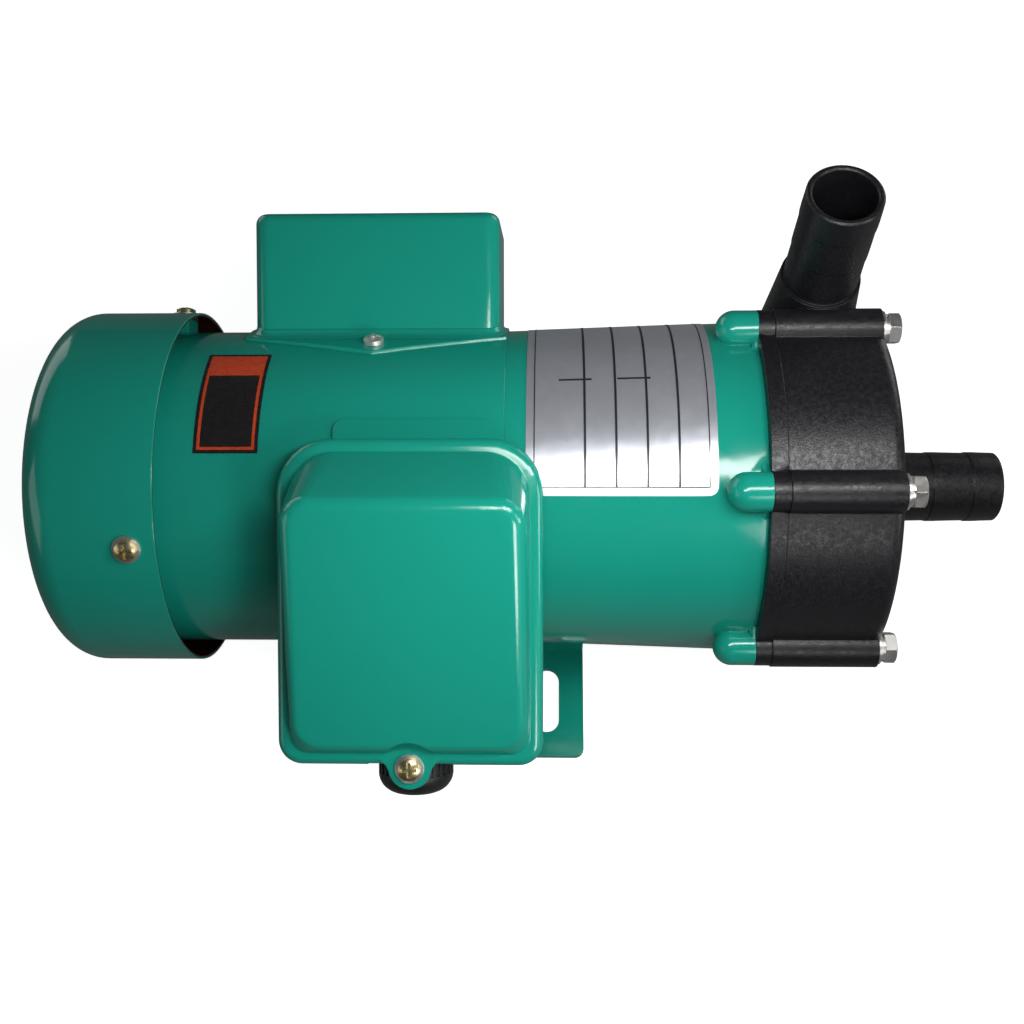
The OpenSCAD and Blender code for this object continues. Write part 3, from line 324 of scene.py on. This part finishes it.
metals = {
    "platedSteel": {
        "light": (0.90, 0.88, 0.84), "dark": (0.78, 0.76, 0.72), "lines": (2400.0, 300.0, 300.0),
        "gloss": 0.34, "dull": 0.50, "depth": 0.00002, "strength": 0.25, "edge": 0.00025,
    },
    "yellowZinc": {
        "light": (0.70, 0.60, 0.32), "dark": (0.50, 0.44, 0.25), "lines": (900.0, 900.0, 900.0),
        "gloss": 0.26, "dull": 0.42, "depth": 0.00002, "strength": 0.25, "edge": 0.0002, "mask": "Stain",
    },
    "groundSteel": {
        "light": (0.58, 0.58, 0.57), "dark": (0.44, 0.44, 0.43), "lines": (3000.0, 160.0, 160.0),
        "gloss": 0.22, "dull": 0.4, "depth": 0.00002, "strength": 0.3, "edge": 0.0004,
    },
    "lamination": {
        "light": (0.26, 0.26, 0.27), "dark": (0.15, 0.15, 0.16), "lines": (2000.0, 5.0, 5.0),
        "gloss": 0.4, "dull": 0.6, "depth": 0.00008, "strength": 0.5, "edge": 0.0, "mask": "Height",
    },
    "magnet": {
        "light": (0.10, 0.10, 0.105), "dark": (0.06, 0.06, 0.064), "lines": (900.0, 900.0, 900.0),
        "gloss": 0.45, "dull": 0.62, "depth": 0.00004, "strength": 0.3, "edge": 0.0004,
    },
    "windingCopper": {
        "light": (0.46, 0.19, 0.07), "dark": (0.30, 0.11, 0.04), "lines": (500.0, 500.0, 500.0),
        "gloss": 0.28, "dull": 0.45, "depth": 0.0002, "strength": 0.5, "edge": 0.0,
    },
    "studBrass": {
        "light": (0.66, 0.47, 0.18), "dark": (0.54, 0.38, 0.14), "lines": (1600.0, 1600.0, 300.0),
        "gloss": 0.2, "dull": 0.36, "depth": 0.00002, "strength": 0.3, "edge": 0.0002,
    },
}
finishes = {}
for name, spec in paints.items():
    finishes[name] = makePaint(name, spec)
for name, spec in plastics.items():
    finishes[name] = makePlastic(name, spec)
for name, spec in metals.items():
    finishes[name] = makeMetal(name, spec)

dressing = {
    "greenPaint": [
        "motor_housing", "rear_end_shield", "foot", "capacitor_cover", "terminal_box",
        "terminal_box_cover", "pump_bracket",
    ],
    "drumPaint": ["fan_cover"],
    "blackCasing": ["rear_casing", "front_casing", "magnet_capsule"],
    "blackNylon": ["gland_body", "gland_locknut", "gland_nut", "cooling_fan"],
    "sealRubber": ["gland_seal", "casing_seal", "capacitor_cradle"],
    "impellerPlastic": ["impeller"],
    "spindleCeramic": ["spindle", "thrust_rings", "mouth_ring"],
    "bushCarbon": ["impeller_bush"],
    "capacitorCan": ["run_capacitor"],
    "terminalPlastic": ["terminal_block"],
    "platedSteel": [
        "casing_bolts", "flat_washers", "spring_washers", "fan_cover_washers", "terminal_cover_washer",
        "capacitor_cover_screws",
    ],
    "yellowZinc": ["fan_cover_screws", "terminal_cover_screw"],
    "groundSteel": ["motor_shaft", "motor_bearings", "drive_yoke"],
    "lamination": ["stator_core", "rotor_core"],
    "magnet": ["drive_magnets", "inner_magnets"],
    "windingCopper": ["stator_windings"],
    "studBrass": ["terminal_studs"],
}
for finish, members in dressing.items():
    for member in members:
        nodes[member].data.materials.clear()
        nodes[member].data.materials.append(finishes[finish])
print("finishes on", sum(len(members) for members in dressing.values()), "solids")

# the barrel that the two labels are wrapped on, in metres
barrel = {
    "axisHeight": 0.075, "housingRadius": 0.0585, "bracketStart": -0.0138,
    "bracketNose": 0.0709, "taper": 0.0028,
}


def barrelRadius(x):
    grown = (x - barrel["bracketStart"]) / (barrel["bracketNose"] - barrel["bracketStart"])
    return barrel["housingRadius"] + barrel["taper"] * max(grown, 0.0)


def onBarrel(x, angle, lift):
    r = barrelRadius(x) + lift
    return Vector((x, -r * math.sin(angle), barrel["axisHeight"] + r * math.cos(angle)))


def pieceFromMesh(name, mesh, material):
    data = bpy.data.meshes.new(name)
    mesh.to_mesh(data)
    mesh.free()
    data.materials.append(material)
    piece = bpy.data.objects.new(name, data)
    scene.collection.objects.link(piece)
    return piece


# wrapped sheets get this many lines in each rounded corner, and sharp edges above this angle
wrapCorner = {"steps": 6, "stepAngle": 15.0, "sharpAngle": 35.0}


def makeWrap(name, spec, material):
    # a thin sheet with rounded corners, bent round the barrel
    mesh = bmesh.new()
    low, high = spec["angles"]
    start, end = spec["places"]
    rows = spec["rows"]
    columns = spec["columns"]
    corner = spec["corner"]
    cornerTurn = corner / barrelRadius(start)
    steps = [math.radians(wrapCorner["stepAngle"] * k) for k in range(wrapCorner["steps"])]
    fine = [corner * (1 - math.cos(step)) for step in steps]
    even = [start + (end - start) * i / columns for i in range(columns + 1)]
    middle = [x for x in even if start + corner <= x <= end - corner]
    xs = sorted({*[start + d for d in fine], *[end - d for d in fine], *middle})
    layers = []
    for lift in (spec["lift"], spec["lift"] + spec["thick"]):
        grid = []
        for x in xs:
            d = min(x - start, end - x, corner) / corner
            inset = cornerTurn * (1 - math.sqrt(max(0.0, 1 - (1 - d) ** 2)))
            column = []
            for j in range(rows + 1):
                swing = math.radians(high - low) - 2 * inset
                angle = math.radians(low) + inset + swing * j / rows
                column.append(mesh.verts.new(onBarrel(x, angle, lift)))
            grid.append(column)
        layers.append(grid)
    for grid in layers:
        for i in range(len(xs) - 1):
            for j in range(rows):
                mesh.faces.new((grid[i][j], grid[i + 1][j], grid[i + 1][j + 1], grid[i][j + 1]))
    under, over = layers
    rim = [(i, 0) for i in range(len(xs))]
    rim += [(len(xs) - 1, j) for j in range(1, rows + 1)]
    rim += [(i, rows) for i in range(len(xs) - 2, -1, -1)]
    rim += [(0, j) for j in range(rows - 1, 0, -1)]
    for k, (i, j) in enumerate(rim):
        m, n = rim[(k + 1) % len(rim)]
        mesh.faces.new((under[i][j], under[m][n], over[m][n], over[i][j]))
    bmesh.ops.recalc_face_normals(mesh, faces=mesh.faces)
    piece = pieceFromMesh(name, mesh, material)
    for polygon in piece.data.polygons:
        polygon.use_smooth = True
    piece.data.set_sharp_from_angle(angle=math.radians(wrapCorner["sharpAngle"]))
    return piece


labelFinishes = {
    "plateFoil": {
        "light": (0.79, 0.81, 0.87), "dark": (0.69, 0.71, 0.78), "lines": (2600.0, 60.0, 60.0),
        "gloss": 0.30, "dull": 0.36, "depth": 0.00001, "strength": 0.2, "edge": 0.0, "metallic": 0.78,
    },
}
printFinishes = {
    "plateInk": {
        "light": (0.012, 0.014, 0.020), "dark": (0.020, 0.022, 0.030), "grain": 4000.0, "mottle": 800.0,
        "gloss": 0.3, "dull": 0.42, "depth": 0.00001, "strength": 0.2, "edge": 0.0,
    },
    "stickerBlack": {
        "light": (0.010, 0.009, 0.009), "dark": (0.017, 0.015, 0.015), "grain": 3000.0, "mottle": 300.0,
        "gloss": 0.22, "dull": 0.36, "depth": 0.00002, "strength": 0.25, "edge": 0.0,
    },
    "stickerOrange": {
        "light": (0.58, 0.065, 0.020), "dark": (0.48, 0.050, 0.016), "grain": 3000.0, "mottle": 300.0,
        "gloss": 0.22, "dull": 0.36, "depth": 0.00002, "strength": 0.25, "edge": 0.0,
    },
}
for name, spec in labelFinishes.items():
    finishes[name] = makeMetal(name, spec)
for name, spec in printFinishes.items():
    finishes[name] = makePlastic(name, spec)

nameplate = {
    "places": (-0.0065, 0.057), "angles": (-62.0, 31.5), "corner": 0.0032,
    "thick": 0.00016, "lift": 0.00002, "rows": 60, "columns": 12,
}
plate = makeWrap("nameplate", nameplate, finishes["plateFoil"])
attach(plate, "pump_body")
print("nameplate done")


# ruled bars in flat places along the axis and round the barrel, then bent onto it
def makeRulesTree():
    tree = bpy.data.node_groups.new("barrelRules", "GeometryNodeTree")
    sockets = {
        "Size": "NodeSocketVector", "Start": "NodeSocketVector", "Step": "NodeSocketVector",
        "Count": "NodeSocketInt", "Across": "NodeSocketInt", "Around": "NodeSocketInt",
        "Radius": "NodeSocketFloat", "Slope": "NodeSocketFloat", "Axis Height": "NodeSocketFloat",
        "Ink": "NodeSocketMaterial",
    }
    for label, kind in sockets.items():
        tree.interface.new_socket(name=label, in_out="INPUT", socket_type=kind)
    tree.interface.new_socket(name="Geometry", in_out="OUTPUT", socket_type="NodeSocketGeometry")
    entry = tree.nodes.new("NodeGroupInput")
    result = tree.nodes.new("NodeGroupOutput")
    bar = addNode(tree, "GeometryNodeMeshCube", values={"Vertices Z": 2})
    row = addNode(tree, "GeometryNodeMeshLine", {"mode": "OFFSET"})
    repeat = tree.nodes.new("GeometryNodeInstanceOnPoints")
    real = tree.nodes.new("GeometryNodeRealizeInstances")
    where = tree.nodes.new("GeometryNodeInputPosition")
    split = tree.nodes.new("ShaderNodeSeparateXYZ")
    radius = addNode(tree, "ShaderNodeMath", {"operation": "MULTIPLY_ADD"})
    lifted = addNode(tree, "ShaderNodeMath", {"operation": "ADD"})
    angle = addNode(tree, "ShaderNodeMath", {"operation": "DIVIDE"})
    sine = addNode(tree, "ShaderNodeMath", {"operation": "SINE"})
    cosine = addNode(tree, "ShaderNodeMath", {"operation": "COSINE"})
    side = addNode(tree, "ShaderNodeMath", {"operation": "MULTIPLY"})
    towards = addNode(tree, "ShaderNodeMath", {"operation": "MULTIPLY"})
    towards.inputs[1].default_value = -1.0
    upright = addNode(tree, "ShaderNodeMath", {"operation": "MULTIPLY_ADD"})
    bent = tree.nodes.new("ShaderNodeCombineXYZ")
    move = tree.nodes.new("GeometryNodeSetPosition")
    paint = tree.nodes.new("GeometryNodeSetMaterial")
    join(tree, entry, "Size", bar, "Size")
    join(tree, entry, "Across", bar, "Vertices X")
    join(tree, entry, "Around", bar, "Vertices Y")
    join(tree, entry, "Count", row, "Count")
    join(tree, entry, "Start", row, "Start Location")
    join(tree, entry, "Step", row, "Offset")
    join(tree, row, "Mesh", repeat, "Points")
    join(tree, bar, "Mesh", repeat, "Instance")
    join(tree, repeat, "Instances", real, "Geometry")
    join(tree, where, "Position", split, "Vector")
    join(tree, split, "X", radius, 0)
    join(tree, entry, "Slope", radius, 1)
    join(tree, entry, "Radius", radius, 2)
    join(tree, radius, 0, lifted, 0)
    join(tree, split, "Z", lifted, 1)
    join(tree, split, "Y", angle, 0)
    join(tree, entry, "Radius", angle, 1)
    join(tree, angle, 0, sine, 0)
    join(tree, angle, 0, cosine, 0)
    join(tree, lifted, 0, side, 0)
    join(tree, sine, 0, side, 1)
    join(tree, side, 0, towards, 0)
    join(tree, lifted, 0, upright, 0)
    join(tree, cosine, 0, upright, 1)
    join(tree, entry, "Axis Height", upright, 2)
    join(tree, split, "X", bent, "X")
    join(tree, towards, 0, bent, "Y")
    join(tree, upright, 0, bent, "Z")
    join(tree, real, "Geometry", move, "Geometry")
    join(tree, bent, "Vector", move, "Position")
    join(tree, move, "Geometry", paint, "Geometry")
    join(tree, entry, "Ink", paint, "Material")
    join(tree, paint, "Geometry", result, "Geometry")
    return tree


rulesTree = makeRulesTree()


def growFromTree(name, tree, values):
    # runs a geometry tree on an empty mesh and keeps the result as a plain mesh
    carrier = bpy.data.objects.new(name + "Carrier", bpy.data.meshes.new(name + "Carrier"))
    scene.collection.objects.link(carrier)
    modifier = carrier.modifiers.new("grow", "NODES")
    modifier.node_group = tree
    for socket in tree.interface.items_tree:
        if socket.in_out == "INPUT" and socket.name in values:
            modifier[socket.identifier] = values[socket.name]
    graph = bpy.context.evaluated_depsgraph_get()
    data = bpy.data.meshes.new_from_object(carrier.evaluated_get(graph), depsgraph=graph)
    data.name = name
    carrier.modifiers.remove(modifier)
    bpy.data.objects.remove(carrier)
    piece = bpy.data.objects.new(name, data)
    scene.collection.objects.link(piece)
    return piece


def barrelBase():
    slope = barrel["taper"] / (barrel["bracketNose"] - barrel["bracketStart"])
    return {
        "Radius": barrel["housingRadius"] - slope * barrel["bracketStart"], "Slope": slope,
        "Axis Height": barrel["axisHeight"],
    }


plateRules = {
    "line": 0.0008, "frameLine": 0.0004, "margin": 0.0028, "high": 0.00012, "sink": 0.00002,
    "firstColumn": 0.0132, "pitch": 0.0104, "columns": 4,
    "crossing": 0.0112, "firstCrossing": 0.0101, "crossingStep": 0.0199, "crossingPlace": 0.60,
}


def makePlateRules(spec, plateSpec):
    base = barrelBase()
    top = plateSpec["lift"] + plateSpec["thick"] - spec["sink"] + spec["high"] / 2
    low, high = [math.radians(a) * base["Radius"] for a in plateSpec["angles"]]
    margin = spec["margin"]
    start, end = plateSpec["places"]
    inner = end - start - 2 * margin
    around = high - low - 2 * margin
    middle = (low + high) / 2
    shared = {**base, "Ink": finishes["plateInk"]}
    columns = {
        **shared, "Size": (spec["line"], around, spec["high"]),
        "Start": (spec["firstColumn"], middle, top),
        "Step": (spec["pitch"], 0, 0), "Count": spec["columns"], "Across": 2, "Around": 60,
    }
    crossings = {
        **shared, "Size": (spec["crossing"], spec["line"], spec["high"]),
        "Start": (spec["firstCrossing"], low + around * spec["crossingPlace"], top),
        "Step": (spec["crossingStep"], 0, 0), "Count": 2, "Across": 8, "Around": 2,
    }
    ends = {
        **shared, "Size": (inner, spec["frameLine"], spec["high"]),
        "Start": ((start + end) / 2, low + margin, top),
        "Step": (0, around, 0), "Count": 2, "Across": 12, "Around": 2,
    }
    sides = {
        **shared, "Size": (spec["frameLine"], around, spec["high"]),
        "Start": (start + margin, middle, top),
        "Step": (inner, 0, 0), "Count": 2, "Across": 2, "Around": 60,
    }
    rules = {"Columns": columns, "Crossings": crossings, "Ends": ends, "Sides": sides}
    for name, values in rules.items():
        piece = growFromTree("nameplate" + name, rulesTree, values)
        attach(piece, "pump_body")


makePlateRules(plateRules, nameplate)
print("nameplate ruled")

sticker = {
    "places": (-0.1185, -0.0965), "angles": (-24.0, 17.6), "corner": 0.0004,
    "thick": 0.00012, "lift": 0.00002, "rows": 30, "columns": 4,
}
stickerFrame = {"margin": 0.0012, "line": 0.0010, "band": 0.25, "thick": 0.00006, "sink": 0.00001}


def makeSticker(spec, border):
    sheet = makeWrap("sticker", spec, finishes["stickerBlack"])
    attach(sheet, "pump_body")
    radius = barrel["housingRadius"]
    start, end = spec["places"]
    low, high = [math.radians(a) * radius for a in spec["angles"]]
    line = border["line"]
    margin = border["margin"]
    thick = border["thick"]
    top = spec["lift"] + spec["thick"] + thick / 2 - border["sink"]
    shared = {
        "Radius": radius, "Slope": 0.0, "Axis Height": barrel["axisHeight"],
        "Ink": finishes["stickerOrange"],
    }
    inner = end - start - 2 * margin
    around = high - low - 2 * margin
    middle = (start + end) / 2
    band = (high - low) * border["band"]
    strips = {
        "Sides": {
            "Size": (line, around, thick), "Step": (inner - line, 0, 0), "Count": 2,
            "Start": (start + margin + line / 2, (low + high) / 2, top), "Across": 2, "Around": 30,
        },
        "Foot": {
            "Size": (inner, line, thick), "Step": (0, 0, 0), "Count": 1,
            "Start": (middle, high - margin - line / 2, top), "Across": 6, "Around": 2,
        },
        "Band": {
            "Size": (inner, band, thick), "Step": (0, 0, 0), "Count": 1,
            "Start": (middle, low + margin + band / 2, top), "Across": 6, "Around": 12,
        },
    }
    for name, values in strips.items():
        piece = growFromTree("sticker" + name, rulesTree, {**shared, **values})
        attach(piece, "pump_body")


makeSticker(sticker, stickerFrame)
print("sticker done")

# hollow curve where the capacitor cover's wall turns into its flange
capBase = {
    "place": (-0.0612, 0.0, 0.075), "turn": -60.0, "half": (0.0445, 0.023), "corner": 0.0055,
    "radius": 0.0025, "flange": 0.0597, "sink": 0.0003, "steps": 8, "along": 24,
}


def capOutline(spec):
    # points of the rounded outline with their outward directions, closed
    points = []
    reach = Vector((spec["half"][0] - spec["corner"], spec["half"][1] - spec["corner"]))
    corners = [(1, 1), (-1, 1), (-1, -1), (1, -1)]
    for k, (sx, sy) in enumerate(corners):
        centre = Vector((sx * reach.x, sy * reach.y))
        for i in range(spec["steps"] + 1):
            angle = math.radians(90 * k + 90 * i / spec["steps"])
            out = Vector((math.cos(angle), math.sin(angle)))
            points.append((centre + out * spec["corner"], out))
        nx, ny = corners[(k + 1) % 4]
        following = Vector((nx * reach.x, ny * reach.y)) + out * spec["corner"]
        start = points[-1][0]
        for i in range(1, spec["along"]):
            points.append((start.lerp(following, i / spec["along"]), out))
    return points


def makeCapBase(spec):
    radius = spec["radius"]
    sink = spec["sink"]
    section = []
    for i in range(spec["steps"] + 1):
        angle = math.radians(90 * i / spec["steps"])
        section.append((radius - radius * math.sin(angle), radius - radius * math.cos(angle)))
    section += [(-sink, radius), (-sink, -sink), (radius, -sink)]
    turn = Matrix.Translation(spec["place"]) @ Matrix.Rotation(math.radians(spec["turn"]), 4, "X")
    mesh = bmesh.new()
    rings = []
    for point, out in capOutline(spec):
        ring = []
        for away, high in section:
            spot = point + out * away
            ground = math.sqrt(spec["flange"] ** 2 - spot.y ** 2)
            ring.append(mesh.verts.new(turn @ Vector((spot.x, spot.y, ground + high))))
        rings.append(ring)
    for i, ring in enumerate(rings):
        following = rings[(i + 1) % len(rings)]
        for j in range(len(section)):
            k = (j + 1) % len(section)
            face = mesh.faces.new((ring[j], following[j], following[k], ring[k]))
            face.smooth = j < spec["steps"]
    bmesh.ops.recalc_face_normals(mesh, faces=mesh.faces)
    piece = pieceFromMesh("capacitorBase", mesh, finishes["greenPaint"])
    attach(piece, "pump_body")


makeCapBase(capBase)
print("capacitor cover's base curved")

# the bracket's painted skin runs straight to its joint with the pump head
bracketSkin = {
    "rimRadius": 0.0645, "slack": 0.00006, "weld": 0.000001, "wallLean": 0.2, "rimFacing": 0.96,
    "sharpAngle": 35.0,
}


def makeBracketSkin(spec):
    # a copy of the solid with its end rim drawn in to the barrel
    mesh = bmesh.new()
    mesh.from_mesh(nodes["pump_bracket"].data)
    bmesh.ops.remove_doubles(mesh, verts=mesh.verts, dist=spec["weld"])
    skinRadius = barrel["housingRadius"] + barrel["taper"]
    mesh.normal_update()
    moves = {}
    for vert in mesh.verts:
        spoke = Vector((0.0, vert.co.y, vert.co.z - barrel["axisHeight"]))
        onRim = abs(spoke.length - spec["rimRadius"]) < spec["slack"]
        if vert.co.x < barrel["bracketNose"] or not onRim:
            continue
        walls = [face.normal for face in vert.link_faces if abs(face.normal.x) < spec["wallLean"]]
        if all(wall.dot(spoke.normalized()) > spec["rimFacing"] for wall in walls):
            moves[vert] = spoke * (skinRadius / spoke.length - 1)
    for vert, move in moves.items():
        vert.co += move
    mesh.normal_update()
    for edge in mesh.edges:
        if edge.is_manifold and edge.calc_face_angle() > math.radians(spec["sharpAngle"]):
            edge.smooth = False
    piece = pieceFromMesh("bracketSkin", mesh, finishes["greenPaint"])
    # the solid's own shading no longer fits
    attributes = piece.data.attributes
    if "custom_normal" in attributes:
        attributes.remove(attributes["custom_normal"])
    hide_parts("pump_bracket")
    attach(piece, "pump_body")


makeBracketSkin(bracketSkin)
print("bracket skinned")

# floor and light
studio = {
    "floorSize": 30.0, "floorSides": 96, "floorDrop": 0.0001, "floorColour": (0.86, 0.86, 0.855),
    "floorInGloss": (0.30, 0.30, 0.30), "floorRoughness": 0.85, "glow": 0.84,
    "worldColour": (0.93, 0.95, 1.0), "worldStrength": 0.06, "backdrop": 0.88,
}


def makeFloor(spec):
    material, tree, shader, place = newMaterial("studioFloor")
    shader.inputs["Roughness"].default_value = spec["floorRoughness"]
    shader.inputs["Emission Color"].default_value = (1, 1, 1, 1)
    path = tree.nodes.new("ShaderNodeLightPath")
    mixColours(tree, shader, spec["floorInGloss"], spec["floorColour"], path, "Is Camera Ray")
    glow = addNode(tree, "ShaderNodeMath", {"operation": "MULTIPLY"})
    glow.inputs[1].default_value = spec["glow"]
    join(tree, path, "Is Camera Ray", glow, 0)
    join(tree, glow, 0, shader, "Emission Strength")
    mesh = bmesh.new()
    bmesh.ops.create_circle(mesh, cap_ends=True, segments=spec["floorSides"], radius=spec["floorSize"])
    floor = pieceFromMesh("studioFloor", mesh, material)
    floor.location.z = -spec["floorDrop"]


def makeWorld(spec):
    world = bpy.data.worlds.new("studioWorld")
    world.use_nodes = True
    tree = world.node_tree
    room = tree.nodes["Background"]
    room.inputs["Color"].default_value = colour(spec["worldColour"])
    room.inputs["Strength"].default_value = spec["worldStrength"]
    backdrop = tree.nodes.new("ShaderNodeBackground")
    backdrop.inputs["Color"].default_value = (1, 1, 1, 1)
    backdrop.inputs["Strength"].default_value = spec["backdrop"]
    path = tree.nodes.new("ShaderNodeLightPath")
    choose = tree.nodes.new("ShaderNodeMixShader")
    join(tree, path, "Is Camera Ray", choose, 0)
    join(tree, room, "Background", choose, 1)
    join(tree, backdrop, "Background", choose, 2)
    join(tree, choose, "Shader", tree.nodes["World Output"], "Surface")
    scene.world = world


wideLamp = {"aim": (0.0, 0.0, 0.07), "size": (1.2, 0.8), "spread": 180}
softboxes = {
    "tubeLamp": {
        "place": (0.07, -0.082, 0.33), "aim": (0.05, -0.03, 0.12), "size": (0.22, 0.04),
        "power": 0.52, "spread": 180,
    },
    "frontSpot": {
        "place": (0.17, -0.36, 0.31), "aim": (-0.04, -0.09, 0.13), "size": (0.12, 0.12),
        "power": 0.075, "spread": 60,
    },
    "sideStrip": {
        "place": (0.50, -0.17, 0.34), "aim": (0.0, -0.06, 0.10), "size": (0.07, 0.26),
        "power": 0.6, "spread": 180,
    },
    "backLeft": {**wideLamp, "place": (-1.5, 1.2, 0.45), "size": (1.4, 0.9), "power": 5.5},
    "backRight": {**wideLamp, "place": (1.5, 1.3, 0.45), "power": 7.0},
    "leftFill": {**wideLamp, "place": (-1.8, -0.6, 0.6), "power": 3.0},
    "rightFill": {**wideLamp, "place": (1.6, -1.0, 0.6), "power": 2.0},
}


def makeSoftbox(name, spec):
    data = bpy.data.lights.new(name, "AREA")
    data.shape = "RECTANGLE"
    data.size, data.size_y = spec["size"]
    data.energy = spec["power"]
    data.spread = math.radians(spec["spread"])
    lamp = bpy.data.objects.new(name, data)
    lamp.location = spec["place"]
    aim = Vector(spec["aim"]) - Vector(spec["place"])
    lamp.rotation_euler = aim.to_track_quat("-Z", "Y").to_euler()
    lamp.visible_camera = False
    scene.collection.objects.link(lamp)


makeFloor(studio)
makeWorld(studio)
for name, spec in softboxes.items():
    makeSoftbox(name, spec)
print("studio lit")
